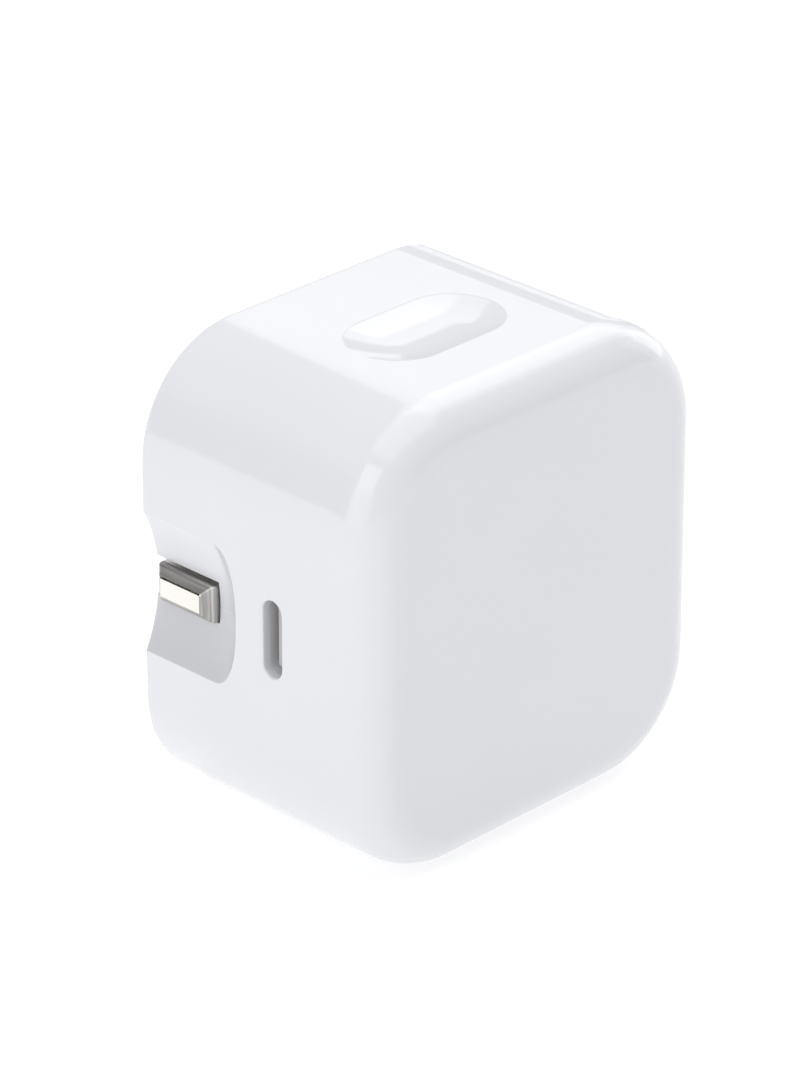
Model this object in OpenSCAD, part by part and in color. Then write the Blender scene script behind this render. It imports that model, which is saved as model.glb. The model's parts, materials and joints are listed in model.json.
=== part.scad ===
// Wall charger for laptops: a rounded block with one USB-C port on its underside
// and a folding three-pin plug of the BS 1363 type in its rear face.
//
// Frame: +Z is up and the part stands on its -Z face. -Y is the blank front face,
// +Y is the plug face, and -X is the port face, which points down in use. The
// modules are written about the middle of the housing, and seat() lifts each one
// so that the part stands on Z = 0. The pins are drawn folded.

/* [Housing] */
// Width of the housing, from the port face to the face opposite
body_w = 47.5; // [46.5:0.5:54]
// Depth of the housing, from the front face to the plug face
body_d = 32; // [31:0.5:38]
// Height of the housing
body_h = 50; // [48:0.5:56]
// Radius of the four long corners
corner_r = 12.3; // [10:0.1:14]
// Radius of the edge round the front face
front_edge_r = 4.8; // [3:0.1:6]
// Radius of the edge round the plug face
rear_edge_r = 0.8; // [0.4:0.1:1]
// Wall thickness
wall = 2; // [1.6:0.1:2.2]
// Width of the rim that frames the plug face
rim_w = 1.2; // [1:0.1:1.4]

/* [Plug] */
// Distance from the centre line of the earth pin to that of the other two
earth_to_line = 22.23; // [22.2:0.01:22.26]
// Distance between the line and neutral pins
line_to_neutral = 22.23; // [22.2:0.01:22.26]
// Edge of the housing to the nearest side of the line and neutral pins
pin_margin = 9.6; // [9.5:0.1:10]
// Long side of the earth pin's section
earth_w = 8; // [7.95:0.01:8.05]
// Short side of the earth pin's section
earth_t = 4; // [3.9:0.01:4.05]
// Length of the earth pin beyond the plug face
earth_len = 22.73; // [22.23:0.01:23.23]
// Long side of the line and neutral pins' section
line_w = 6.35; // [6.25:0.01:6.55]
// Short side of the line and neutral pins' section
line_t = 4; // [3.9:0.01:4.05]
// Length of the line and neutral pins beyond the plug face
line_len = 17.73; // [17.2:0.01:18.2]
// Length of the insulating sleeves beyond the plug face
sleeve_len = 9.2; // [9:0.1:9.5]
// Thickness of the insulating sleeves
sleeve_t = 0.7; // [0.5:0.05:0.9]
// Chamfer at the tips of the pins, across their long side
chamfer_w = 1.1; // [0.8:0.1:1.4]
// Chamfer at the tips of the pins, across their short side
chamfer_t = 0.9; // [0.7:0.1:1.2]
// How far the folded earth pin lies below the plug face
earth_recess = 1.2; // [0.8:0.1:1.6]
// How far the folded line and neutral pins lie below the plug face
line_recess = 0.5; // [0.3:0.1:0.9]
// How far the tip of the folded earth pin stays inside the port face
tip_inset = 0.25; // [0.2:0.05:1]
// Depth of the line and neutral hinge axis below the plug face
line_axis_depth = 5.2; // [5:0.1:5.4]

/* [Hinges] */
// Diameter of the steel hinge axles
axle_d = 2; // [1.6:0.1:2.2]
// Radial clearance of a carrier on its axle
axle_fit = 0.05; // [0.02:0.01:0.09]
// Thickness of the bearing ears
ear_t = 1.5; // [1.2:0.1:1.6]
// Plastic left beside the pins in their carriers
carrier_wall = 1.6; // [1.2:0.1:1.8]
// Side clearance between moving and fixed pieces
side_gap = 0.25; // [0.15:0.05:0.35]
// Thickness of the contact strips
contact_t = 0.5; // [0.3:0.1:0.6]

/* [Finger scoop] */
// Height of the scoop on the port face
scoop_h = 15.3; // [13:0.1:17]
// Depth of the scoop along its middle
scoop_depth = 1.85; // [1.6:0.05:2.4]
// Distance from the plug face to the end of the scoop's mouth
scoop_len = 13.4; // [12:0.1:14]
// Radius between the scoop's floor and its end
scoop_end_r = 3.6; // [3:0.1:6]

/* [USB-C port] */
// Long side of the port's mouth
port_long = 8.34; // [8.34:0.01:8.4]
// Short side of the port's mouth
port_short = 2.56; // [2.56:0.01:2.6]
// Distance of the port's centre from the plug face
port_offset = 18.4; // [18.2:0.1:19]
// Thickness of the metal shell of the port
port_shell_t = 0.3; // [0.25:0.05:0.35]
// Length of the port's metal shell
port_len = 7.3; // [7:0.1:8]
// Width of the housing's lip in front of the port
port_lip = 0.9; // [0.7:0.1:1.1]
// Radius of the edge round the port's mouth
port_edge_r = 0.25; // [0.1:0.05:0.4]

/* [Button] */
// Length of the button along X
button_len = 18.4; // [17:0.1:20]
// Width of the button along Y
button_w = 10.8; // [9:0.1:12]
// Place of the button's centre along X, from the middle of the top face
button_x = -0.36; // [-1:0.01:0.5]
// Place of the button's centre along Y, from the middle of the top face
button_y = -0.27; // [-0.6:0.01:0]
// Depth of the finger dish in the button
button_dish = 0.7; // [0.4:0.05:1]
// Gap round the button
button_gap = 0.06; // [0.05:0.01:0.15]
// Travel of the button
button_travel = 0.8; // [0.5:0.1:1]

/* [Electronics] */
// Thickness of the circuit board
board_t = 1; // [0.8:0.1:1.2]
// Width of the transformer
transformer_w = 17; // [15:0.1:17.5]
// Height of the transformer with its bobbin
transformer_h = 17; // [15:0.1:17.5]
// Diameter of the bulk capacitors
bulk_cap_d = 8; // [6.3:0.1:9]
// Length of the bulk capacitors
bulk_cap_len = 14.5; // [13:0.1:15]
// Thickness of the heat spreader
spreader_t = 1; // [0.8:0.1:1.2]
// Thickness of the insulating sheet
sheet_t = 0.2; // [0.1:0.05:0.3]

/* [Hidden] */
$fn = 72;
eps = 0.01;

white = [0.93, 0.93, 0.94];
nickel = [0.78, 0.77, 0.74];
steel = [0.6, 0.61, 0.62];
chip_black = [0.13, 0.13, 0.14];

// Planes of the housing.
port_x = -body_w / 2;
front_y = -body_d / 2;
plug_y = body_d / 2;
top_z = body_h / 2;
inner_x = body_w / 2 - wall;
inner_front_y = front_y + wall;
inner_top_z = top_z - wall;
cover_y = plug_y - wall;
cover_fit = 0.05;

// Hinge of the earth pin. The folded pin points to -X and swings out by a quarter
// turn, which fixes the axis from where the tip starts and where it has to end.
line_x = port_x + pin_margin + line_t / 2;
earth_x = line_x + earth_to_line;
tip_x = port_x + tip_inset;
earth_fold_y = plug_y - earth_recess - earth_w / 2;
earth_axis_y = (plug_y + earth_len + tip_x - earth_x + earth_fold_y) / 2;
earth_axis_x = earth_x - earth_fold_y + earth_axis_y;
earth_face = plug_y - earth_axis_y;
earth_offset = earth_fold_y - earth_axis_y;
earth_half = earth_t / 2 + carrier_wall;
earth_root = 1.6;
earth_hub_r = 7.2;
earth_heel = 2.2;
earth_hub_cut = 2.6;

// Hinge of the line and neutral pins. They point to +X when folded.
line_fold_y = plug_y - line_recess - line_t / 2;
line_axis_y = plug_y - line_axis_depth;
line_offset = line_fold_y - line_axis_y;
line_axis_x = line_x + line_offset;
line_z = line_to_neutral / 2;
line_half = line_w / 2 + carrier_wall;
line_root = 1.5;
rocker_in = line_z - line_half;
rocker_out = line_z + line_half;
// The bar that joins the two carriers passes below the folded earth pin.
bar_r = 0.9;
bar_reach = 6.2;
web_t = 1.6;
axle_r = axle_d / 2;
ear_fit = 0.01;
ear_rim = 1.2;
ear_r = axle_r + ear_rim;
strip_rim = 1;
strip_r = axle_r + strip_rim;
strip_w = 3;

// Wells in the plug cover.
earth_gap = 0.45;
earth_rest_gap = 0.1;
line_gap = 0.4;
under_gap = 0.15;
well_wall = 0.9;
well_floor = 0.7;
earth_room = (earth_t + earth_gap + earth_rest_gap) / 2;
earth_room_z = (earth_gap - earth_rest_gap) / 2;
earth_well_y = earth_fold_y - earth_w / 2 - under_gap;
line_well_y = line_fold_y - line_t / 2 - under_gap;
line_tip_x = line_axis_x + line_axis_depth + line_len;
nail_room = 2.5;

// Finger scoop. Its rounded end runs out of the port face before its full radius,
// so the cylinder starts a little beyond the end of the mouth.
scoop_r = (pow(scoop_h / 2, 2) + pow(scoop_depth, 2)) / (2 * scoop_depth);
scoop_axis_x = port_x + scoop_depth - scoop_r;
scoop_end_run = sqrt(pow(scoop_end_r, 2) - pow(scoop_end_r - scoop_depth, 2));
scoop_y = plug_y - scoop_len - scoop_end_r + scoop_end_run;
scoop_wall = 1.65;
scoop_block_x = port_x + scoop_depth + scoop_wall;
scoop_block_h = scoop_h + 2 * scoop_wall;
scoop_block_y = plug_y - scoop_len - scoop_wall;

// Port and circuit board.
port_y = plug_y - port_offset;
port_half_y = port_short / 2 + port_shell_t;
port_front_x = port_x + port_lip;
port_back_x = port_front_x + port_len;
tongue_base = 2.4;
tongue_front = 0.35;
tongue_w = 6.69;
tongue_t = 0.7;
contact_pitch = 0.5;
contact_w = 0.24;
contact_skin = 0.06;
contact_start = 0.4;
contact_count = 12;
board_front_y = port_y + port_half_y;
board_back_y = board_front_y + board_t;
board_margin = 1.5;

// Button.
button_r = button_w / 2;
button_half = button_len / 2 - button_r;
dish_r = (pow(button_r, 2) + pow(button_dish, 2)) / (2 * button_dish);
flange_w = 1;
flange_t = 0.95;
flange_gap = 0.15;
flange_top_z = inner_top_z - flange_gap;
flange_z = flange_top_z - flange_t;
seat_drop = 8;
seat_top_z = inner_top_z - seat_drop;
seat_t = 1.2;
seat_gap = 0.9;
spring_r = 2.4;
spring_wire = 0.5;
spring_turns = 5;
spring_fit = 0.2;
spring_boss = 1.2;
seat_rim = 1.6;
seat_half_x = spring_r + seat_rim;
seat_half_y = button_r + flange_w + seat_gap;
// The latch hangs from the button's flange above the rocker, clear of the seat.
latch_w = 2;
latch_x_gap = 3.55;
latch_y_gap = 6;
latch_clear = 0.3;
latch_x = line_axis_x + latch_x_gap;
latch_y = line_axis_y - latch_y_gap;
latch_z = seat_top_z + button_travel + latch_clear;

// Heat path and the room in front of the board.
spreader_size = 34;
sheet_y = inner_front_y + spreader_t;
parts_y = sheet_y + sheet_t;
stack_y = board_front_y - parts_y;

// Upper edge of the board, which passes below the button's seat, and the tab
// beside the seat.
board_seat_gap = 0.8;
board_button_gap = 1.1;
board_side_gap = 2.2;
board_top_z = seat_top_z - seat_t - board_seat_gap;
board_tab_z = flange_z - button_travel - board_button_gap;
board_tab_x = button_x - seat_half_x - board_side_gap;

// Parts on the board, from the right wall to the port. The lower rows hang from
// the row of chips along the board's upper edge, and the transformer fills the
// room between the board and the sheet.
part_gap = 0.7;
column_gap = 1.5;
row_margin = 0.6;
row_top_z = board_top_z - row_margin;
row_depth = 4.4;
choke_r = 4.3;
choke_wrap = 0.7;
choke_bore_r = 1.3;
choke_hole_r = choke_bore_r + choke_wrap;
choke_core_r = choke_r - choke_wrap;
choke_core_t = 3;
choke_t = 4.6;
choke_wall_gap = 1.15;
choke_x = inner_x - choke_t / 2 - choke_wall_gap;
x_cap_t = 5;
x_cap_h = 13;
x_cap_clear = 1.48;
x_cap_x = choke_x - choke_t / 2 - column_gap - x_cap_t / 2;
transformer_x = x_cap_x - x_cap_t / 2 - column_gap - transformer_w / 2;
transformer_z = row_top_z - row_depth - transformer_h / 2;
core_leg = 2.6;
core_side = 2;
bobbin_gap = 1.5;
bobbin_flange = 1.2;
bobbin_w = transformer_w - 2 * core_leg;
x_cap_drop = 1.1;
x_cap_z = transformer_z - x_cap_drop;
choke_drop = 2.5;
choke_z = transformer_z - choke_drop;
bulk_cap_z = transformer_z - transformer_h / 2 - part_gap / 2 - bulk_cap_d / 2;
fuse_r = 3.8;
fuse_h = 7.5;
fuse_wall_gap = 1.45;
fuse_rise = 4;
fuse_x = inner_x - fuse_r - fuse_wall_gap;
fuse_z = x_cap_z + x_cap_h / 2 + fuse_rise;
bridge_w = 4.2;
bridge_h = 6;
bridge_t = 1.6;
bridge_gap = 0.3;
bridge_x = transformer_x + transformer_w / 2 + bridge_w / 2 + bridge_gap;
switch_w = 6;
switch_h = 4;
switch_x = bridge_x - bridge_w / 2 - part_gap - switch_w / 2;
y_cap_r = 3.5;
y_cap_t = 3.2;
y_cap_drop = 2.2;
y_cap_x = switch_x - switch_w / 2 - part_gap - y_cap_r;
chip_w = 4;
chip_h = 5;
chip_t = 1;
output_rectifier_x = y_cap_x - y_cap_r - part_gap - chip_w / 2;
controller_x = output_rectifier_x - part_gap - chip_w;
output_cap_r = 3.15;
output_cap_h = 8;
output_cap_side = 1.6;
output_cap_top = 0.35;
output_cap_x = output_cap_r + output_cap_side - inner_x;
output_cap_z = board_tab_z - output_cap_top - output_cap_r;

// ---- helpers ----

// Lifts a piece that is drawn about the middle of the housing onto Z = 0.
module seat() {
    translate([0, 0, body_h / 2]) children();
}

// Extrudes an outline drawn in X and Z from y0 to y1.
module along_y(y0, y1) {
    translate([0, y1, 0]) rotate([90, 0, 0]) linear_extrude(y1 - y0) children();
}

// Extrudes an outline drawn in Y and Z from x0 to x1.
module along_x(x0, x1) {
    translate([x0, 0, 0]) rotate([90, 0, 90]) linear_extrude(x1 - x0) children();
}

// Extrudes an outline drawn in X and Y from z0 to z1.
module along_z(z0, z1) {
    translate([0, 0, z0]) linear_extrude(z1 - z0) children();
}

// A box from one corner to the opposite one.
module box(low, high) {
    translate(low) cube(high - low);
}

// A cylinder along X between two places.
module rod_x(x0, x1, y, z, r) {
    translate([x0, y, z]) rotate([0, 90, 0]) cylinder(h = x1 - x0, r = r);
}

// A cylinder along Y between two places.
module rod_y(y0, y1, x, z, r) {
    translate([x, y1, z]) rotate([90, 0, 0]) cylinder(h = y1 - y0, r = r);
}

// A cylinder along Z between two places.
module rod_z(z0, z1, x, y, r) {
    translate([x, y, z0]) cylinder(h = z1 - z0, r = r);
}

// Outline of a slot with round ends, long along its first axis.
module stadium(length, width) {
    square([length - width, width], center = true);
    for (side = [-1, 1]) translate([side * (length - width) / 2, 0]) circle(d = width);
}

// Outline of a rectangle with round corners.
module round_rect(w, h, r) {
    square([w, h - 2 * r], center = true);
    square([w - 2 * r, h], center = true);
    for (x = [-1, 1], y = [-1, 1]) translate([x * (w / 2 - r), y * (h / 2 - r)]) circle(r);
}

// Half section of a slab: its reach, its two faces and the radii of its two edges.
module slab_edge(reach, y0, y1, r0, r1) {
    translate([0, y0 + r0]) square([reach, y1 - r1 - y0 - r0]);
    if (r0 > 0) {
        translate([0, y0]) square([reach - r0, r0]);
        translate([reach - r0, y0 + r0]) circle(r0);
    }
    if (r1 > 0) {
        translate([0, y1 - r1]) square([reach - r1, r1]);
        translate([reach - r1, y1 - r1]) circle(r1);
    }
}

module slab_section(reach, y0, y1, r0, r1) {
    slab_edge(reach, y0, y1, r0, r1);
    mirror([1, 0]) slab_edge(reach, y0, y1, r0, r1);
}

// Half section of the round edge at the mouth of a hole in the face y = 0, whose
// half width is reach. The outside of the face is above it.
module mouth_edge(reach, r) {
    difference() {
        translate([0, -r]) square([reach + r, r + 1]);
        translate([reach + r, -r]) circle(r);
    }
}

// A slab across Y with round corners and round edges at both faces.
module slab(w, h, r, y0, y1, r0, r1) {
    linear_extrude(h - 2 * r, center = true) slab_section(w / 2, y0, y1, r0, r1);
    rotate([0, 90, 0]) linear_extrude(w - 2 * r, center = true)
        slab_section(h / 2, y0, y1, r0, r1);
    for (x = [-1, 1], z = [-1, 1]) translate([x * (w / 2 - r), 0, z * (h / 2 - r)])
        rotate([-90, 0, 0]) rotate_extrude() slab_edge(r, y0, y1, r0, r1);
}

// ---- housing ----

// The block of wall behind the finger scoop, up to the plug face.
module scoop_block() {
    box([port_x - 1, scoop_block_y, -scoop_block_h / 2], [scoop_block_x, plug_y, scoop_block_h / 2]);
}

// The room that a finger takes: a cylinder along Y whose inner end is rounded, and
// whose mouth in the plug face has the same round edge as the housing.
module scoop_room() {
    translate([scoop_axis_x, 0, 0]) rotate([-90, 0, 0]) rotate_extrude() {
        slab_edge(scoop_r, scoop_y, plug_y + 1, scoop_end_r, 0);
        translate([0, plug_y]) mouth_edge(scoop_r, rear_edge_r);
    }
}

module button_outline(grow) {
    translate([button_x, button_y]) stadium(button_len + 2 * grow, button_w + 2 * grow);
}

module port_outline(grow) {
    translate([port_y, 0]) rotate(90) stadium(port_long + 2 * grow, port_short + 2 * grow);
}

// The round edge of the port's mouth, as room to cut from the port face.
module port_mouth() {
    straight = port_long - port_short;
    reach = port_short / 2;
    translate([port_x, port_y, 0]) {
        linear_extrude(straight, center = true) rotate(90) {
            mouth_edge(reach, port_edge_r);
            mirror([1, 0]) mouth_edge(reach, port_edge_r);
        }
        for (side = [-1, 1]) translate([0, 0, side * straight / 2]) rotate([0, -90, 0])
            rotate_extrude() mouth_edge(reach, port_edge_r);
    }
}

module shell() {
    color(white) seat() difference() {
        slab(body_w, body_h, corner_r, front_y, plug_y, front_edge_r, rear_edge_r);
        difference() {
            union() {
                slab(body_w - 2 * wall, body_h - 2 * wall, corner_r - wall,
                    inner_front_y, cover_y + eps, front_edge_r - wall, 0);
                along_y(cover_y, plug_y + 1)
                    round_rect(body_w - 2 * rim_w, body_h - 2 * rim_w, corner_r - rim_w);
            }
            scoop_block();
        }
        scoop_room();
        box([port_x - 1, earth_well_y, earth_room_z - earth_room],
            [scoop_block_x + 1, plug_y + 1, earth_room_z + earth_room]);
        port_mouth();
        along_x(port_x - 1, port_x + wall + 1) port_outline(0);
        along_x(port_front_x, port_x + wall + 1) port_outline(port_shell_t);
        along_z(inner_top_z - 1, top_z + 1) button_outline(0);
    }
}

// A bearing ear that hangs from the cover and holds an axle.
module ear(x, y, z0) {
    difference() {
        union() {
            box([x - ear_r, y, z0], [x + ear_r, cover_y + eps, z0 + ear_t]);
            rod_z(z0, z0 + ear_t, x, y, ear_r);
        }
        rod_z(z0 - 1, z0 + ear_t + 1, x, y, axle_r + ear_fit);
    }
}

// The trough that a folded pin lies in, open to the plug face, with a wall at its
// far end if end_t is above zero.
module trough(x0, x1, end_t, floor_y, z, half) {
    open_x = end_t > 0 ? x1 : x1 + 1;
    difference() {
        box([x0, floor_y - well_floor, z - half - well_wall],
            [x1 + end_t, cover_y + eps, z + half + well_wall]);
        box([x0 - 1, floor_y, z - half], [open_x, cover_y + 1, z + half]);
    }
}

module plug_cover() {
    edge = rim_w + cover_fit;
    block_x = scoop_block_x + cover_fit;
    block_half = scoop_block_h / 2 + cover_fit;
    earth_left = earth_axis_x - norm([earth_face, earth_heel]) - side_gap;
    earth_right = earth_axis_x + earth_face + side_gap;
    line_room = line_w / 2 + line_gap;
    line_left = line_axis_x - line_axis_depth - side_gap;
    line_right = line_axis_x + line_axis_depth + side_gap;
    line_end = line_tip_x + nail_room;
    color(white) seat() {
        difference() {
            along_y(cover_y, plug_y) difference() {
                round_rect(body_w - 2 * edge, body_h - 2 * edge, corner_r - edge);
                translate([port_x - 1, -block_half]) square([block_x - port_x + 1, 2 * block_half]);
            }
            box([port_x, cover_y - 1, earth_room_z - earth_room],
                [earth_right, plug_y + 1, earth_room_z + earth_room]);
            box([earth_left, cover_y - 1, -earth_half - side_gap],
                [earth_right, plug_y + 1, earth_half + side_gap]);
            for (side = [-1, 1]) {
                box([line_left, cover_y - 1, side * line_z - line_half - side_gap],
                    [line_right, plug_y + 1, side * line_z + line_half + side_gap]);
                box([line_left, cover_y - 1, side * line_z - line_room],
                    [line_end, plug_y + 1, side * line_z + line_room]);
            }
        }
        trough(block_x, earth_left, 0, earth_well_y, earth_room_z, earth_room);
        for (side = [-1, 1]) {
            trough(line_right, line_end, well_wall, line_well_y, side * line_z, line_room);
            ear(earth_axis_x, earth_axis_y,
                side > 0 ? earth_half + side_gap : -earth_half - side_gap - ear_t);
            ear(line_axis_x, line_axis_y,
                side > 0 ? rocker_out + side_gap : -rocker_out - side_gap - ear_t);
            ear(line_axis_x, line_axis_y,
                side > 0 ? rocker_in - side_gap - ear_t : -rocker_in + side_gap);
        }
    }
}

// ---- earth pin ----

// Outline of a pin from its root to its chamfered tip, long along X.
module pin_outline(root, tip, low, high, chamfer) {
    back = tip > root ? tip - chamfer : tip + chamfer;
    polygon([[root, low], [root, high], [back, high], [tip, high - chamfer],
        [tip, low + chamfer], [back, low]]);
}

// The earth pin in the frame of its axis: it points to -X, with its long side along Y.
module earth_bar() {
    tip = tip_x - earth_axis_x;
    low = earth_offset - earth_w / 2;
    high = earth_offset + earth_w / 2;
    half = earth_t / 2;
    intersection() {
        along_z(-half, half) pin_outline(-earth_root, tip, low, high, chamfer_w);
        along_y(low, high) pin_outline(-earth_root, tip, -half, half, chamfer_t);
    }
}

module at_earth_axis() {
    translate([earth_axis_x, earth_axis_y, 0]) children();
}

module earth_pin() {
    color(nickel) seat() at_earth_axis() earth_bar();
}

module earth_carrier() {
    color(white) seat() at_earth_axis() difference() {
        union() {
            box([-earth_face, -earth_heel, -earth_half], [0, earth_face, earth_half]);
            rod_z(-earth_half, earth_half, 0, 0, earth_hub_r);
        }
        earth_bar();
        rod_z(-earth_half - 1, earth_half + 1, 0, 0, axle_r + axle_fit);
        box([-earth_hub_r - 1, -earth_hub_r - 1, -earth_half - 1],
            [-earth_hub_cut, -earth_heel, earth_half + 1]);
    }
}

module earth_axle() {
    reach = earth_half + side_gap + ear_t;
    color(steel) seat() rod_z(-reach, reach, earth_axis_x, earth_axis_y, axle_r);
}

// ---- line and neutral pins ----

module at_line_axis() {
    translate([line_axis_x, line_axis_y, 0]) children();
}

// A box that runs along the pin, from x0 to x1, with the pin's section less an inset.
module line_block(x0, x1, inset) {
    half_t = line_t / 2 - inset;
    half_w = line_w / 2 - inset;
    box([x0, line_offset - half_t, -half_w], [x1, line_offset + half_t, half_w]);
}

module line_bar() {
    face = line_axis_depth;
    tip = line_axis_depth + line_len;
    low = line_offset - line_t / 2;
    high = line_offset + line_t / 2;
    half = line_w / 2;
    line_block(line_root, face, 0);
    line_block(face - eps, face + sleeve_len + eps, sleeve_t);
    intersection() {
        line_block(face + sleeve_len, tip, 0);
        along_z(-half, half) pin_outline(face, tip, low, high, chamfer_t);
        along_y(low, high) pin_outline(face, tip, -half, half, chamfer_w);
    }
}

module line_pin_at(z) {
    color(nickel) seat() at_line_axis() translate([0, 0, z]) line_bar();
}

module line_pin() {
    line_pin_at(line_z);
}

module neutral_pin() {
    line_pin_at(-line_z);
}

module sleeve_at(z) {
    color([0.12, 0.12, 0.13]) seat() at_line_axis() translate([0, 0, z]) difference() {
        line_block(line_axis_depth, line_axis_depth + sleeve_len, 0);
        line_block(line_axis_depth - 1, line_axis_depth + sleeve_len + 1, sleeve_t);
    }
}

module line_sleeve() {
    sleeve_at(line_z);
}

module neutral_sleeve() {
    sleeve_at(-line_z);
}

module pin_rocker() {
    color(white) seat() at_line_axis() {
        difference() {
            union() {
                for (side = [-1, 1]) translate([0, 0, side * line_z]) {
                    box([0, 0, -line_half], [line_axis_depth, line_axis_depth, line_half]);
                    rod_z(-line_half, line_half, 0, 0, line_axis_depth);
                }
                for (side = [-1, 1]) translate([0, 0, side * (rocker_in + web_t / 2)])
                    rotate(225) translate([0, -bar_r, -web_t / 2])
                        cube([bar_reach * sqrt(2), 2 * bar_r, web_t]);
                rod_z(-rocker_in - web_t, rocker_in + web_t, -bar_reach, -bar_reach, bar_r);
            }
            for (side = [-1, 1]) translate([0, 0, side * line_z]) {
                line_bar();
                rod_z(-line_half - 1, line_half + 1, 0, 0, axle_r + axle_fit);
            }
        }
    }
}

module line_axle_at(side) {
    low = rocker_in - side_gap - ear_t;
    high = rocker_out + side_gap + ear_t + contact_t;
    color(steel) seat() rod_z(side > 0 ? low : -high, side > 0 ? high : -low,
        line_axis_x, line_axis_y, axle_r);
}

module line_axle() {
    line_axle_at(1);
}

module neutral_axle() {
    line_axle_at(-1);
}

// A strip from the outer end of an axle to the circuit board.
module contact_at(side) {
    near = rocker_out + side_gap + ear_t;
    z0 = side > 0 ? near : -near - contact_t;
    z1 = z0 + contact_t;
    color([0.85, 0.68, 0.35]) seat() difference() {
        union() {
            box([line_axis_x - strip_w / 2, board_back_y, z0], [line_axis_x + strip_w / 2, line_axis_y, z1]);
            rod_z(z0, z1, line_axis_x, line_axis_y, strip_r);
        }
        rod_z(z0 - 1, z1 + 1, line_axis_x, line_axis_y, axle_r + ear_fit);
    }
}

module line_contact() {
    contact_at(1);
}

module neutral_contact() {
    contact_at(-1);
}

// ---- button ----

// The hollow that a fingertip fits: a cylinder along X between two balls.
module dish_room() {
    translate([button_x, button_y, top_z + dish_r - button_dish]) {
        rod_x(-button_half, button_half, 0, 0, dish_r);
        for (side = [-1, 1]) translate([side * button_half, 0, 0]) sphere(dish_r);
    }
}

module button() {
    color(white) seat() difference() {
        union() {
            along_z(flange_z, top_z) button_outline(-button_gap);
            along_z(flange_z, flange_top_z) button_outline(flange_w);
        }
        dish_room();
    }
}

module button_latch() {
    half = latch_w / 2;
    color([0.25, 0.25, 0.27]) seat()
        box([latch_x - half, latch_y - half, latch_z], [latch_x + half, latch_y + half, flange_z]);
}

// A helical tube of round wire, as a mesh of rings.
module helix(r, wire_r, turns, height) {
    steps = 14 * turns;
    sides = 8;
    rise = height - 2 * wire_r;
    points = [for (i = [0:steps], k = [0:sides - 1])
        let (turn = 360 * turns * i / steps, side = 360 * k / sides, rr = r + wire_r * cos(side))
        [rr * cos(turn), rr * sin(turn), wire_r + rise * i / steps + wire_r * sin(side)]];
    walls = [for (i = [0:steps - 1], k = [0:sides - 1]) let (next = (k + 1) % sides)
        [i * sides + k, (i + 1) * sides + k, (i + 1) * sides + next, i * sides + next]];
    first = [for (k = [0:sides - 1]) k];
    last = [for (k = [sides - 1:-1:0]) steps * sides + k];
    polyhedron(points, concat([first], walls, [last]));
}

module button_spring() {
    color(steel) seat() translate([button_x, button_y, seat_top_z])
        helix(spring_r, spring_wire / 2, spring_turns, flange_z - seat_top_z);
}

// A bridge under the button: a shelf for the spring between two legs that hang
// from the top wall.
module button_seat() {
    boss_r = spring_r - spring_wire - spring_fit;
    low_z = seat_top_z - seat_t;
    outer_y = seat_half_y + seat_t;
    color([0.3, 0.3, 0.32]) seat() translate([button_x, button_y, 0]) {
        box([-seat_half_x, -outer_y, low_z], [seat_half_x, outer_y, seat_top_z]);
        for (side = [-1, 1]) translate([0, side * (seat_half_y + seat_t / 2), 0])
            box([-seat_half_x, -seat_t / 2, low_z], [seat_half_x, seat_t / 2, inner_top_z]);
        rod_z(seat_top_z, seat_top_z + spring_boss, 0, 0, boss_r);
    }
}

// ---- USB-C port ----

module usb_shell() {
    color(steel) seat() difference() {
        along_x(port_front_x, port_back_x) port_outline(port_shell_t);
        along_x(port_front_x - 1, port_back_x + 1) port_outline(0);
    }
}

module usb_tongue() {
    base_x = port_back_x - tongue_base;
    color([0.55, 0.56, 0.58]) seat() {
        along_x(base_x, port_back_x) port_outline(0);
        box([port_front_x + tongue_front, port_y - tongue_t / 2, -tongue_w / 2],
            [base_x + eps, port_y + tongue_t / 2, tongue_w / 2]);
    }
}

module usb_contacts() {
    x0 = port_front_x + tongue_front + contact_start;
    x1 = port_back_x - tongue_base;
    middle = (contact_count - 1) / 2;
    color([0.9, 0.75, 0.4]) seat() for (i = [0:contact_count - 1], side = [-1, 1])
        translate([x0, port_y + side * tongue_t / 2, (i - middle) * contact_pitch])
            translate([0, side > 0 ? 0 : -contact_skin, -contact_w / 2])
                cube([x1 - x0, contact_skin, contact_w]);
}

// ---- circuit board and what stands on it ----

module main_board() {
    low_z = board_margin - inner_top_z;
    color([0.1, 0.35, 0.2]) seat() along_y(board_front_y, board_back_y) intersection() {
        round_rect(2 * inner_x, 2 * inner_top_z, corner_r - wall);
        union() {
            translate([-inner_x, low_z]) square([2 * inner_x, board_top_z - low_z]);
            translate([-inner_x, low_z]) square([board_tab_x + inner_x, board_tab_z - low_z]);
        }
    }
}

// A box on the front of the board, given by its middle in X and Z and its size.
module on_board(x, z, size_x, size_z, size_y) {
    box([x - size_x / 2, board_front_y - size_y, z - size_z / 2],
        [x + size_x / 2, board_front_y, z + size_z / 2]);
}

// The room between the core's legs, which the bobbin and the winding fill.
module on_bobbin(z, size_z) {
    translate([0, -bobbin_gap, 0])
        on_board(transformer_x, z, bobbin_w, size_z, stack_y - 2 * bobbin_gap);
}

module transformer_core() {
    color([0.2, 0.2, 0.21]) seat() difference() {
        on_board(transformer_x, transformer_z, transformer_w, transformer_h - 2 * core_side, stack_y);
        on_bobbin(transformer_z, transformer_h);
    }
}

module transformer_bobbin() {
    reach = (transformer_h - bobbin_flange) / 2;
    color([0.12, 0.12, 0.12]) seat() for (side = [-1, 1])
        on_bobbin(transformer_z + side * reach, bobbin_flange);
}

module transformer_winding() {
    color([0.85, 0.75, 0.15]) seat() on_bobbin(transformer_z, transformer_h - 2 * bobbin_flange);
}

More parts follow.
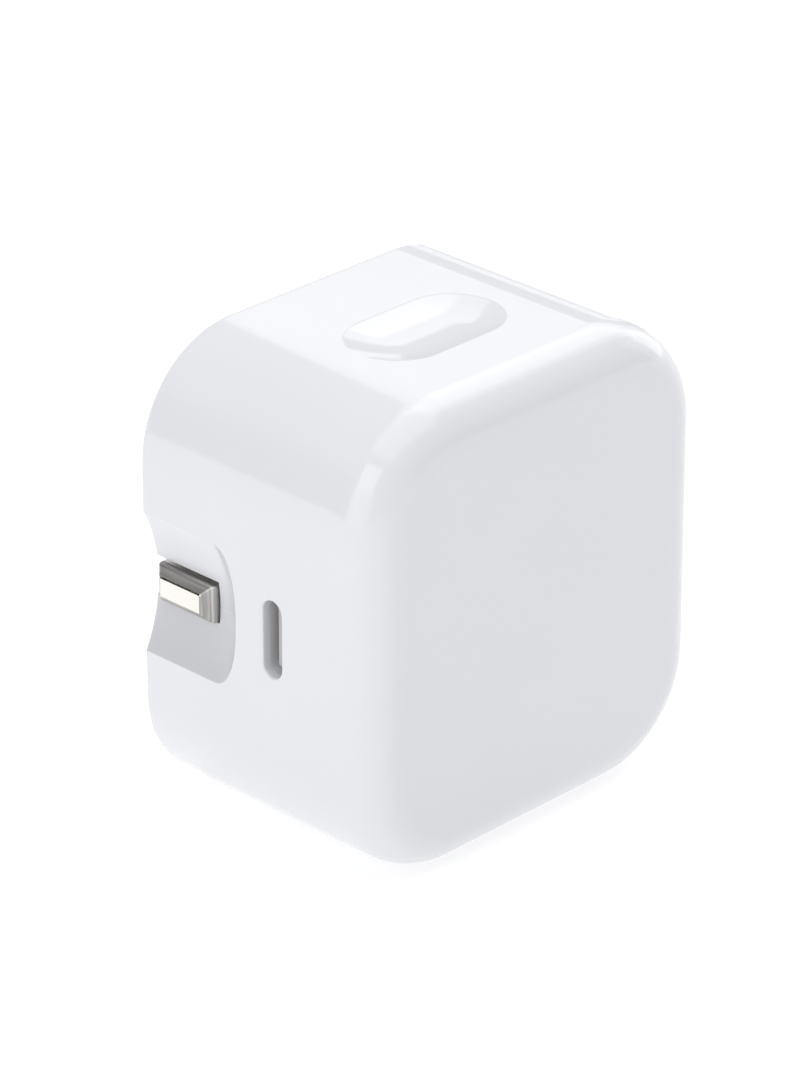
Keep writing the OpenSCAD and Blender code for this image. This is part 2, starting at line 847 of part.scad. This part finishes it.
module bulk_capacitor_at(x0) {
    r = bulk_cap_d / 2;
    color([0.15, 0.17, 0.22]) seat() rod_x(x0, x0 + bulk_cap_len, board_front_y - r, bulk_cap_z, r);
}

module bulk_capacitor_1() {
    bulk_capacitor_at(part_gap / 2);
}

module bulk_capacitor_2() {
    bulk_capacitor_at(-part_gap / 2 - bulk_cap_len);
}

module output_capacitor() {
    color([0.75, 0.76, 0.78]) seat() rod_y(board_front_y - output_cap_h, board_front_y,
        output_cap_x, output_cap_z, output_cap_r);
}

module x_capacitor() {
    color([0.85, 0.75, 0.2]) seat() on_board(x_cap_x, x_cap_z, x_cap_t, x_cap_h, stack_y - x_cap_clear);
}

module y_capacitor() {
    mid_z = row_top_z - y_cap_drop;
    color([0.15, 0.35, 0.65]) seat() rod_z(mid_z - y_cap_t / 2, mid_z + y_cap_t / 2,
        y_cap_x, board_front_y - y_cap_r, y_cap_r);
}

module choke_disc(half_t, r) {
    rod_x(choke_x - half_t, choke_x + half_t, board_front_y - choke_r, choke_z, r);
}

module choke_core() {
    color([0.3, 0.32, 0.3]) seat() difference() {
        choke_disc(choke_core_t / 2, choke_core_r);
        choke_disc(choke_t, choke_hole_r);
    }
}

module choke_winding() {
    color([0.75, 0.42, 0.2]) seat() difference() {
        choke_disc(choke_t / 2, choke_r);
        choke_disc(choke_t, choke_bore_r);
        choke_core_room();
    }
}

// The ring of room that the core takes inside its winding.
module choke_core_room() {
    difference() {
        choke_disc(choke_core_t / 2, choke_core_r);
        choke_disc(choke_core_t, choke_hole_r);
    }
}

module fuse() {
    color([0.2, 0.2, 0.2]) seat()
        rod_y(board_front_y - fuse_h, board_front_y, fuse_x, fuse_z, fuse_r);
}

// A flat chip on the board whose upper edge lies on the row.
module chip_at(x, w, h, t) {
    color(chip_black) seat() on_board(x, row_top_z - h / 2, w, h, t);
}

module bridge_rectifier() {
    chip_at(bridge_x, bridge_w, bridge_h, bridge_t);
}

module switch_chip() {
    chip_at(switch_x, switch_w, switch_h, chip_t);
}

module controller_chip() {
    chip_at(controller_x, chip_w, chip_h, chip_t);
}

module output_rectifier() {
    chip_at(output_rectifier_x, chip_w, chip_h, chip_t);
}

// ---- heat path to the front wall ----

module insulating_sheet() {
    color([0.9, 0.88, 0.7, 0.8]) seat() along_y(sheet_y, parts_y)
        square([spreader_size, spreader_size], center = true);
}

module heat_spreader() {
    color([0.75, 0.76, 0.78]) seat() along_y(inner_front_y, sheet_y)
        square([spreader_size, spreader_size], center = true);
}

shell();
plug_cover();
earth_pin();
earth_carrier();
earth_axle();
pin_rocker();
line_pin();
neutral_pin();
line_sleeve();
neutral_sleeve();
line_axle();
neutral_axle();
line_contact();
neutral_contact();
button();
button_latch();
button_spring();
button_seat();
usb_shell();
usb_tongue();
usb_contacts();
main_board();
transformer_core();
transformer_bobbin();
transformer_winding();
bulk_capacitor_1();
bulk_capacitor_2();
output_capacitor();
x_capacitor();
y_capacitor();
choke_core();
choke_winding();
fuse();
bridge_rectifier();
switch_chip();
controller_chip();
output_rectifier();
insulating_sheet();
heat_spreader();
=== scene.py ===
# Wall charger with a folding three-pin plug: materials, added detail, light and camera.
import json
import math

import bmesh
import bpy
from mathutils import Matrix, Vector
from mathutils.bvhtree import BVHTree
from mathutils.interpolate import poly_3d_calc

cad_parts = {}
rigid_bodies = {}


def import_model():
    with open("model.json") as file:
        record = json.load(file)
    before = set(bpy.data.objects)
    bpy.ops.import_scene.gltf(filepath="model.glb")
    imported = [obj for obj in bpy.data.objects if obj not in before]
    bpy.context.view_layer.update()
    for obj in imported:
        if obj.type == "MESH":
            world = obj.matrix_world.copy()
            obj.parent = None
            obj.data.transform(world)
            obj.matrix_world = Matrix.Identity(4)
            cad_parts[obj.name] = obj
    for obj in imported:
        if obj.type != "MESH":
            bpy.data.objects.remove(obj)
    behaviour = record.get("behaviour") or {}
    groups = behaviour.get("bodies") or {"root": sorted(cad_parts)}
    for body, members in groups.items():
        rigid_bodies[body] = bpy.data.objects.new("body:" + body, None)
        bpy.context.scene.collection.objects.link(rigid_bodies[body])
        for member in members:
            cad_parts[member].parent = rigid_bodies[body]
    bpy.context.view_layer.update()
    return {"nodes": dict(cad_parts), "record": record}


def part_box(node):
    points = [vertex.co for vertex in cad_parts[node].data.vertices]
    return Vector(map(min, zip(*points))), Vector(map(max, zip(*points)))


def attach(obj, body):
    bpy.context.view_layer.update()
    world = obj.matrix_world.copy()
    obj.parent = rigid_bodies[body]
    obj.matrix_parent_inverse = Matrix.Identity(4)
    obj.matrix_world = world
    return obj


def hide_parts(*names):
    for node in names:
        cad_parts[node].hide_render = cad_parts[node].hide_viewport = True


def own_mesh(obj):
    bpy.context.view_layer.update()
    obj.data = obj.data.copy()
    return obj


MM = 0.001
CENTRE = Vector((0, 0, 25 * MM))
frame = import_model()
nodes = frame["nodes"]


# ---- materials ----

# The stretch of a noise's values that a colour or a roughness is spread over.
NOISE_SPAN = (0.3, 0.7)


def map_range(tree, value, source, target, interpolation="LINEAR"):
    """A node that takes a value from one range to another and keeps it there."""
    node = tree.nodes.new("ShaderNodeMapRange")
    node.interpolation_type = interpolation
    ends = ("From Min", "From Max", "To Min", "To Max")
    for end, number in zip(ends, (*source, *target)):
        node.inputs[end].default_value = number
    tree.links.new(value, node.inputs["Value"])
    return node.outputs["Result"]


class Shader:
    """A node material on one Principled shader, in object coordinates."""

    def __init__(self, name):
        self.material = bpy.data.materials.new(name)
        self.material.use_nodes = True
        self.tree = self.material.node_tree
        self.main = self.tree.nodes["Principled BSDF"]
        self.place = self.add("ShaderNodeTexCoord").outputs["Object"]

    def add(self, kind, **values):
        node = self.tree.nodes.new(kind)
        for name, value in values.items():
            setattr(node, name, value)
        return node

    def link(self, source, target):
        self.tree.links.new(source, target)

    def set(self, **values):
        for name, value in values.items():
            self.main.inputs[name.replace("_", " ")].default_value = value

    def noise(self, scale, detail, stretch):
        mapping = self.add("ShaderNodeMapping")
        mapping.inputs["Scale"].default_value = stretch
        self.link(self.place, mapping.inputs["Vector"])
        noise = self.add("ShaderNodeTexNoise")
        noise.inputs["Scale"].default_value = scale
        noise.inputs["Detail"].default_value = detail
        self.link(mapping.outputs["Vector"], noise.inputs["Vector"])
        return noise.outputs["Fac"]

    def ramp(self, factor, low, high):
        ramp = self.add("ShaderNodeValToRGB")
        for element, place, colour in zip(ramp.color_ramp.elements, NOISE_SPAN, (low, high)):
            element.position = place
            element.color = (*colour, 1)
        self.link(factor, ramp.inputs["Fac"])
        return ramp.outputs["Color"]

    def step(self, value, start, end, low=0.0, high=1.0):
        """Goes from low to high while the value goes from start to end, in millimetres."""
        return map_range(self.tree, value, (start * MM, end * MM), (low, high), "SMOOTHSTEP")

    def times(self, first, *others):
        for other in others:
            product = self.add("ShaderNodeMath", operation="MULTIPLY")
            self.link(first, product.inputs[0])
            self.link(other, product.inputs[1])
            first = product.outputs["Value"]
        return first

    def blend(self, socket, factor, other):
        """Mixes what feeds a socket of the main shader with another value."""
        target = self.main.inputs[socket]
        source = target.links[0].from_socket
        colour = target.type == "RGBA"
        mix = self.add("ShaderNodeMix", data_type="RGBA" if colour else "FLOAT")
        first, second, result = (6, 7, 2) if colour else (2, 3, 0)
        self.link(factor, mix.inputs[0])
        self.link(source, mix.inputs[first])
        mix.inputs[second].default_value = other
        self.link(mix.outputs[result], target)

    def bump(self, height, distance):
        bump = self.add("ShaderNodeBump")
        bump.inputs["Distance"].default_value = distance
        self.link(height, bump.inputs["Height"])
        self.link(bump.outputs["Normal"], self.main.inputs["Normal"])


def plastic(name, low, high, rough, grain, depth, stretch=(1, 1, 1), patch=60,
            patch_stretch=(1, 1, 1)):
    """Moulded plastic: slight colour drift, uneven gloss and a fine skin."""
    shader = Shader(name)
    drift = shader.noise(patch, 2.0, patch_stretch)
    skin = shader.noise(grain, 4.0, stretch)
    shader.link(shader.ramp(drift, low, high), shader.main.inputs["Base Color"])
    shader.link(map_range(shader.tree, skin, NOISE_SPAN, rough),
                shader.main.inputs["Roughness"])
    shader.bump(skin, depth)
    return shader


def metal(name, low, high, rough, grain, depth, stretch, metallic=1.0, **patches):
    """Metal with a drawn or plated grain along one direction."""
    shader = plastic(name, low, high, rough, grain, depth, stretch, **patches)
    shader.set(Metallic=metallic)
    return shader


WHITE_LOW = (0.752, 0.759, 0.791)
WHITE_HIGH = (0.760, 0.767, 0.799)


def gloss_white(name):
    shader = plastic(name, WHITE_LOW, WHITE_HIGH, (0.06, 0.10), 700, 0.0000008)
    shader.set(IOR=1.5)
    return shader


# The bounds of the finger scoop: an axis, and where its mask is 0 and where it is 1.
SCOOP_BOUNDS = (("X", -23.745, -23.70), ("X", -20.9, -21.1), ("Y", 2.4, 2.5),
                ("Z", 16.9, 17.1), ("Z", 33.1, 32.9))
# The heights between which the scoop's finish turns from nearly gloss to satin, and its painted
# shade grows from faint to full, so that the scoop is darker towards its bottom.
SCOOP_TURN = (29.5, 22.0)
SCOOP_START = 0.14
# Painted shade: the grey that the scoop's colour is darkened to, most towards its bottom.
SCOOP_PAINTED_SHADE = (0.580, 0.586, 0.614, 1)
SCOOP_ROUGH = 0.34


def shell_white(name):
    """The gloss white of the housing, with painted shade in the finger scoop, darker towards
    its bottom, where the finish also turns satin.
    """
    shader = gloss_white(name)
    axes = shader.add("ShaderNodeSeparateXYZ")
    shader.link(shader.place, axes.inputs["Vector"])
    shade = shader.times(*(shader.step(axes.outputs[axis], start, end)
                           for axis, start, end in SCOOP_BOUNDS),
                         shader.step(axes.outputs["Z"], *SCOOP_TURN, low=SCOOP_START))
    # Painted shade: the colour is darkened within the scoop, most towards its bottom.
    shader.blend("Base Color", shade, SCOOP_PAINTED_SHADE)
    shader.blend("Roughness", shade, SCOOP_ROUGH)
    return shader


# By material slot, and then the finishes that some nodes or faces have within their slot.
# Each gives two colours, a range of roughness, and the grain's scale, depth and stretch.
finishes = {
    "white_gloss": gloss_white("gloss_white"),
    "nickel": metal("bright_nickel", (0.80, 0.77, 0.73), (0.86, 0.84, 0.81), (0.14, 0.24),
                    1400, 0.000003, (0.06, 1, 1)),
    "steel": metal("drawn_steel", (0.50, 0.50, 0.51), (0.62, 0.62, 0.63), (0.25, 0.4),
                   1400, 0.000003, (1, 1, 0.1)),
    "sleeve_black": plastic("sleeve_black", (0.012, 0.012, 0.014), (0.022, 0.022, 0.025),
                            (0.35, 0.5), 1800, 0.000012),
    "frame_grey": plastic("frame_grey", (0.05, 0.05, 0.056), (0.075, 0.075, 0.08),
                          (0.4, 0.55), 1500, 0.00001),
    "contact_brass": metal("rolled_brass", (0.62, 0.43, 0.16), (0.78, 0.58, 0.26),
                           (0.2, 0.36), 1200, 0.000004, (1, 0.08, 1)),
    "contact_gold": metal("gold_flash", (0.80, 0.58, 0.22), (0.92, 0.72, 0.34),
                          (0.15, 0.28), 2500, 0.000002, (0.1, 1, 1)),
    "tongue_grey": plastic("tongue_grey", (0.46, 0.46, 0.47), (0.52, 0.52, 0.53),
                           (0.35, 0.5), 2500, 0.000006),
    "board_green": plastic("board_green", (0.008, 0.085, 0.035), (0.015, 0.14, 0.06),
                           (0.25, 0.45), 1600, 0.00002),
    "ferrite": plastic("ferrite", (0.03, 0.03, 0.032), (0.055, 0.055, 0.058),
                       (0.55, 0.8), 2200, 0.00003),
    "moulded_black": plastic("moulded_black", (0.012, 0.012, 0.013), (0.025, 0.025, 0.027),
                             (0.45, 0.65), 2600, 0.00001),
    "tape_yellow": plastic("tape_yellow", (0.72, 0.52, 0.03), (0.85, 0.66, 0.06),
                           (0.22, 0.35), 500, 0.00003, (1, 1, 6)),
    "capacitor_sleeve": plastic("capacitor_sleeve", (0.010, 0.014, 0.03),
                                (0.018, 0.024, 0.045), (0.25, 0.4), 900, 0.00001),
    "aluminium": metal("rolled_aluminium", (0.72, 0.73, 0.74), (0.84, 0.85, 0.86),
                       (0.3, 0.45), 1000, 0.000005, (0.05, 1, 1)),
    "film_yellow": plastic("film_yellow", (0.68, 0.48, 0.05), (0.80, 0.60, 0.09),
                           (0.3, 0.45), 900, 0.00001),
    "ceramic_blue": plastic("ceramic_blue", (0.02, 0.10, 0.36), (0.04, 0.16, 0.48),
                            (0.25, 0.4), 800, 0.00003),
    "copper_wire": metal("enamelled_copper", (0.42, 0.14, 0.05), (0.62, 0.24, 0.09),
                         (0.2, 0.35), 700, 0.00006, (1, 6, 6)),
    "film_sheet": plastic("film_sheet", (0.60, 0.54, 0.36), (0.68, 0.62, 0.43),
                          (0.3, 0.45), 700, 0.000006),
    "shell_white": shell_white("shell_white"),
    # A matt, bead-blasted plating, which scatters more light than it mirrors.
    "port_steel": metal("port_steel", (0.76, 0.775, 0.81), (0.80, 0.815, 0.85), (0.45, 0.6),
                        1400, 0.000003, (0.1, 1, 1), metallic=0.3),
    # The milled chamfers of the pins' tips: a rougher finish, and a colour far darker than the
    # bright nickel, painted shade for the dark surroundings that these chamfers mirror.
    "nickel_milled": metal("nickel_milled", (0.26, 0.255, 0.25), (0.60, 0.59, 0.57),
                           (0.36, 0.5), 2600, 0.000004, (1, 0.08, 0.08),
                           patch=5200, patch_stretch=(1, 0.02, 0.02)),
}
OWN_FINISH = {"usb_shell": "port_steel", "shell": "shell_white"}
slots = {part["node"]: part["material_slot"] for part in frame["record"]["subparts"]}


def material_of(node):
    return finishes[OWN_FINISH.get(node, slots[node])].material


for node in slots:
    for holder in nodes[node].material_slots:
        holder.material = material_of(node)


# ---- pieces ----


def add_object(shape, name, material):
    """Turns a bmesh into an object of the scene."""
    mesh = bpy.data.meshes.new(name)
    shape.to_mesh(mesh)
    shape.free()
    mesh.materials.append(material)
    thing = bpy.data.objects.new(name, mesh)
    bpy.context.collection.objects.link(thing)
    return thing


def replace_node(shape, name, node):
    """Turns a bmesh into a piece that rides where the node does and wears its material."""
    piece = add_object(shape, name, material_of(node))
    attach(piece, nodes[node].parent.name.removeprefix("body:"))
    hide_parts(node)
    return piece


def join_rings(shape, rings, closed):
    """Makes the walls between each ring of points and the next."""
    for here, there in zip(rings, rings[1:] + rings[:1] if closed else rings[1:]):
        for index in range(len(here)):
            after = (index + 1) % len(here)
            shape.faces.new((here[index], there[index], there[after], here[after]))


# ---- softened pieces ----

# Faces that meet at less than the first angle are joined, and edges above the second are
# rounded.
FLAT_ANGLE = math.radians(0.2)
SHARP_ANGLE = math.radians(24)
ROUND_SEGMENTS = 3
# The button's rim and its hole stay sharp, so that the seam between them is tight.
SEAM_HEIGHT = 49.0
# Where the milled chamfers of each pin's tip lie along X, in millimetres.
MILLED_TIPS = {"earth_pin": (-24, -22), "line_pin": (12, 14), "neutral_pin": (12, 14)}
# How far a normal leans to X on the end of a tip and on the narrow edges round it, and how far
# the upper edge's leans up.
END_LEAN, EDGE_LEAN, UPPER_LEAN = 0.98, 0.9, 0.1
# The rim of the finger scoop, where it lies, and its radius. It is rounded more than the other
# edges of the housing.
RIM_X, RIM_Y, RIM_Z = -23.4, 2.4, (16.5, 33.5)
RIM_WIDTH = 0.25
# How far a point may be from the source's surface, and how well two faces' normals agree,
# for the point to count as lying on that face.
ON_SURFACE = 0.002
SAME_SIDE = 0.94


def on_scoop_rim(edge):
    places = [vertex.co / MM for vertex in edge.verts]
    return all(place.x < RIM_X and place.y > RIM_Y and RIM_Z[0] < place.z < RIM_Z[1]
               for place in places)


def round_edges(shape, width, segments, chosen=lambda edge: True):
    """Rounds the sharp edges that are chosen."""
    sharp = [edge for edge in shape.edges
             if len(edge.link_faces) == 2 and edge.calc_face_angle() > SHARP_ANGLE
             and edge.verts[0].co.z < SEAM_HEIGHT * MM and chosen(edge)]
    bmesh.ops.bevel(shape, geom=sharp, offset=width * MM, segments=segments, profile=0.5,
                    affect="EDGES", clamp_overlap=True)


def is_polished(face):
    """The end of a pin's tip and the narrow edge above it are polished, the rest is milled."""
    lean = abs(face.normal.x)
    return lean > END_LEAN or lean > EDGE_LEAN and face.normal.z > UPPER_LEAN


def mill_tip(shape, start, end):
    """Marks the faces of a pin's tip that are milled, which wear a darker nickel as painted
    shade, and cuts its sides where they end.
    """
    for limit in (start, end):
        bmesh.ops.bisect_plane(shape, geom=shape.verts[:] + shape.edges[:] + shape.faces[:],
                               plane_co=(limit, 0, 0), plane_no=(1, 0, 0))
    for face in shape.faces:
        on_tip = start < face.calc_center_median().x < end
        face.material_index = int(on_tip and not is_polished(face))


def copy_normals(source, mesh, flat):
    """Gives a softened mesh the source's exact normals wherever it lies on the source.

    Its other faces are either flat or shaded as a rounding.
    """
    tree = BVHTree.FromPolygons([vertex.co for vertex in source.vertices],
                                [face.vertices for face in source.polygons])
    exact = []
    for face in mesh.polygons:
        for index in face.vertices:
            place = mesh.vertices[index].co
            touching = [(hit[1].dot(face.normal), hit[2])
                        for hit in tree.find_nearest_range(place, ON_SURFACE * MM)]
            match, hit = max(touching, default=(0, 0))
            if match < SAME_SIDE:
                exact.append(face.normal if flat else mesh.vertices[index].normal)
                continue
            corners = source.polygons[hit].loop_indices
            spread = poly_3d_calc([source.vertices[source.loops[corner].vertex_index].co
                                   for corner in corners], place)
            exact.append(sum((source.corner_normals[corner].vector * share
                              for corner, share in zip(corners, spread)), Vector()))
    mesh.normals_split_custom_set(exact)


def soften(node, width):
    """Replaces a node by a piece of its form whose sharp edges are rounded."""
    source = nodes[node].data
    is_pin = node in MILLED_TIPS
    shape = bmesh.new()
    shape.from_mesh(source)
    bmesh.ops.remove_doubles(shape, verts=shape.verts, dist=0.001 * MM)
    bmesh.ops.dissolve_limit(shape, angle_limit=FLAT_ANGLE, verts=shape.verts,
                             edges=shape.edges)
    if node == "shell":
        round_edges(shape, RIM_WIDTH, ROUND_SEGMENTS, on_scoop_rim)
    round_edges(shape, width, 1 if is_pin else ROUND_SEGMENTS)
    for face in shape.faces:
        face.smooth = True
    if is_pin:
        mill_tip(shape, *(place * MM for place in MILLED_TIPS[node]))
    piece = replace_node(shape, node + "_soft", node)
    copy_normals(source, piece.data, flat=is_pin)
    if is_pin:
        # The milled faces wear the darker nickel, painted shade.
        piece.data.materials.append(finishes["nickel_milled"].material)


# Edge radius of each piece, in millimetres.
EDGES = {
    "shell": 0.1, "plug_cover": 0.08, "usb_shell": 0.05,
    "earth_pin": 0.12, "line_pin": 0.12, "neutral_pin": 0.12, "line_sleeve": 0.1,
    "neutral_sleeve": 0.1, "usb_tongue": 0.12, "button_latch": 0.15, "bridge_rectifier": 0.2,
    "switch_chip": 0.2, "controller_chip": 0.12, "output_rectifier": 0.12, "fuse": 0.4,
    "x_capacitor": 0.4, "transformer_core": 0.15, "transformer_bobbin": 0.15,
    "transformer_winding": 0.5, "bulk_capacitor_1": 0.45, "bulk_capacitor_2": 0.45,
    "output_capacitor": 0.4, "y_capacitor": 0.6, "heat_spreader": 0.15, "button_seat": 0.12,
    "earth_carrier": 0.1, "pin_rocker": 0.1,
}
for node, width in EDGES.items():
    soften(node, width)


# ---- button spring ----

COIL_RADIUS = 2.4 * MM
WIRE_RADIUS = 0.25 * MM
COIL_TURNS = 5
COIL_STEPS = 32
COIL_LAST = COIL_TURNS * COIL_STEPS
WIRE_SIDES = 12
# Rounding of each wire end: how far past the last ring, and how wide, in wire radii.
COIL_TIP = ((0.0, 1.0), (0.5, 0.866), (0.866, 0.5))

coil_low, coil_high = (Vector(corner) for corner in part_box("button_spring"))
coil_length = coil_high.z - coil_low.z
coil_centre = (coil_low + coil_high) / 2


def wire_ring(shape, step, past, wide):
    """One ring of the wire: its step along the coil, its place past that and its width."""
    angle = 2 * math.pi * step / COIL_STEPS + past * WIRE_RADIUS / COIL_RADIUS
    height = coil_low.z + WIRE_RADIUS + (coil_length - 2 * WIRE_RADIUS) * step / COIL_LAST
    ring = []
    for corner in range(WIRE_SIDES):
        around = 2 * math.pi * corner / WIRE_SIDES
        out = COIL_RADIUS + wide * WIRE_RADIUS * math.cos(around)
        ring.append(shape.verts.new((coil_centre.x + out * math.cos(angle),
                                     coil_centre.y + out * math.sin(angle),
                                     height + wide * WIRE_RADIUS * math.sin(around))))
    return ring


coil_shape = bmesh.new()
stations = [(0, -past, wide) for past, wide in reversed(COIL_TIP)]
stations += [(step, 0.0, 1.0) for step in range(1, COIL_LAST)]
stations += [(COIL_LAST, past, wide) for past, wide in COIL_TIP]
coil_rings = [wire_ring(coil_shape, *station) for station in stations]
join_rings(coil_shape, coil_rings, closed=False)
coil_shape.faces.new(coil_rings[0])
coil_shape.faces.new(reversed(coil_rings[-1]))
for face in coil_shape.faces:
    face.smooth = True
bmesh.ops.recalc_face_normals(coil_shape, faces=coil_shape.faces)
coil = replace_node(coil_shape, "button_coil", "button_spring")
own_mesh(coil)


# ---- button seal ----

# The hole in the top wall that the button fills but for a narrow gap.
HOLE_CENTRE = (-0.36, -0.27)
HOLE_STRAIGHT = 3.8
HOLE_RADIUS = 5.4
# Section of the lip that closes the gap: offset from the hole's wall, and height.
SEAL_SECTION = ((-0.07, 48.6), (-0.07, 49.992), (-0.012, 49.992), (-0.012, 48.6))
SEAL_STEPS = 40

seal_shape = bmesh.new()
seal_rings = []
for end in (1, -1):
    for step in range(SEAL_STEPS + 1):
        angle = math.pi * step / SEAL_STEPS - math.pi / 2
        out_x, out_y = math.cos(angle) * end, math.sin(angle) * end
        seal_rings.append([seal_shape.verts.new(
            ((HOLE_CENTRE[0] + end * HOLE_STRAIGHT + out_x * (HOLE_RADIUS + out)) * MM,
             (HOLE_CENTRE[1] + out_y * (HOLE_RADIUS + out)) * MM, height * MM))
            for out, height in SEAL_SECTION])
join_rings(seal_shape, seal_rings, closed=True)
bmesh.ops.recalc_face_normals(seal_shape, faces=seal_shape.faces)
seal = add_object(seal_shape, "button_seal", finishes["white_gloss"].material)
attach(seal, "button_group")


# ---- floor ----

FLOOR_RADIUS = 6
FLOOR_DROP = 0.1 * MM

paper = plastic("floor_paper", (0.50, 0.50, 0.50), (0.52, 0.52, 0.52), (0.8, 0.9), 300, 0.00001)
paper.set(Emission_Color=(1, 1, 1, 1), Emission_Strength=0.6)
floor_shape = bmesh.new()
bmesh.ops.create_circle(floor_shape, cap_ends=True, radius=FLOOR_RADIUS, segments=96)
floor = add_object(floor_shape, "floor", paper.material)
floor.location.z = -FLOOR_DROP


# ---- light ----

WORLD_STRENGTH = 0.42
# The studio's unlit corner: its direction, and the cosines where it ends and is fully dark.
DARK_CORNER = (-0.775, 0.62, 0.12)
DARK_EDGE, DARK_CORE = 0.885, 0.945

world = bpy.data.worlds.new("studio")
bpy.context.scene.world = world
world.use_nodes = True
sky = world.node_tree.nodes["Background"]
sky.inputs["Color"].default_value = (1, 1, 1, 1)
direction = world.node_tree.nodes.new("ShaderNodeTexCoord")
towards = world.node_tree.nodes.new("ShaderNodeVectorMath")
towards.operation = "DOT_PRODUCT"
towards.inputs[1].default_value = DARK_CORNER
world.node_tree.links.new(direction.outputs["Generated"], towards.inputs[0])
fade = map_range(world.node_tree, towards.outputs["Value"], (DARK_EDGE, DARK_CORE),
                 (WORLD_STRENGTH, 0.0))
world.node_tree.links.new(fade, sky.inputs["Strength"])

LAMP_DISTANCE = 3.0
# Above this elevation, in degrees, a lamp's azimuth says nothing about its width.
OVERHEAD = 80
# Azimuth, elevation, width and height in degrees, and radiance. Azimuth 0 is on the -Y side
# and 90 on the +X side.
LAMPS = {
    "key": (113, 47, 68, 45, 1.01),
    "key_core": (112, 48, 46, 30, 1.03),
    "right_low": (90, 12, 24, 26, 1.3),
    "right_wide": (88, 12, 46, 44, 0.6),
    "rear_low": (128, 7, 14, 9, 0.65),
    "left_low": (275, 13, 50, 26, 1.11),
    "left_high": (275, 38, 50, 24, 1.97),
    "overhead": (0, 88, 60, 60, 1.19),
}


def softbox(name, azimuth, elevation, width, height, radiance):
    """A rectangular lamp that faces the charger, its size given as the angles it spans."""
    a, e = math.radians(azimuth), math.radians(elevation)
    away = Vector((math.sin(a) * math.cos(e), -math.cos(a) * math.cos(e), math.sin(e)))
    reach = math.cos(e) if elevation < OVERHEAD else 1.0
    lamp = bpy.data.lights.new(name, "AREA")
    lamp.shape = "RECTANGLE"
    lamp.size = 2 * LAMP_DISTANCE * math.tan(math.radians(width / 2)) * reach
    lamp.size_y = 2 * LAMP_DISTANCE * math.tan(math.radians(height / 2))
    lamp.energy = radiance * math.pi * lamp.size * lamp.size_y
    holder = bpy.data.objects.new(name, lamp)
    bpy.context.collection.objects.link(holder)
    holder.location = CENTRE + away * LAMP_DISTANCE
    holder.rotation_mode = "QUATERNION"
    holder.rotation_quaternion = away.to_track_quat("Z", "Y")
    holder.visible_camera = False


for name, values in LAMPS.items():
    softbox(name, *values)


# ---- camera ----

AZIMUTH = math.radians(-45.82)
ELEVATION = math.radians(26.45)
ROLL = math.radians(0.12)
DISTANCE = 531.6 * MM
# Focal length and longer side of the frame, and how far left and up of the charger's centre
# the camera aims, all in pixels of that frame.
FOCAL_PX = 5330.0
LONG_SIDE_PX = 1091.0
OFFSET_PX = (25.3, 8.8)
SENSOR_WIDTH = 36

back = Vector((math.sin(AZIMUTH) * math.cos(ELEVATION),
               -math.cos(AZIMUTH) * math.cos(ELEVATION), math.sin(ELEVATION)))
side = Vector((0, 0, 1)).cross(back).normalized()
up = back.cross(side)
side, up = (side * math.cos(ROLL) + up * math.sin(ROLL),
            up * math.cos(ROLL) - side * math.sin(ROLL))
eye = CENTRE + back * DISTANCE
aim = CENTRE + (up * OFFSET_PX[1] - side * OFFSET_PX[0]) * DISTANCE / FOCAL_PX
look = (eye - aim).normalized()
right = up.cross(look).normalized()

camera_data = bpy.data.cameras.new("camera")
camera_data.sensor_width = SENSOR_WIDTH
camera_data.lens = FOCAL_PX / LONG_SIDE_PX * SENSOR_WIDTH
camera_data.clip_start = 0.01
camera_data.clip_end = 50
camera = bpy.data.objects.new("camera", camera_data)
bpy.context.collection.objects.link(camera)
turn = Matrix((right, look.cross(right), look)).transposed()
camera.matrix_world = Matrix.Translation(eye) @ turn.to_4x4()
bpy.context.scene.camera = camera

view = bpy.context.scene.view_settings
view.view_transform = "Standard"
view.look = "None"
view.exposure = 0
view.gamma = 1
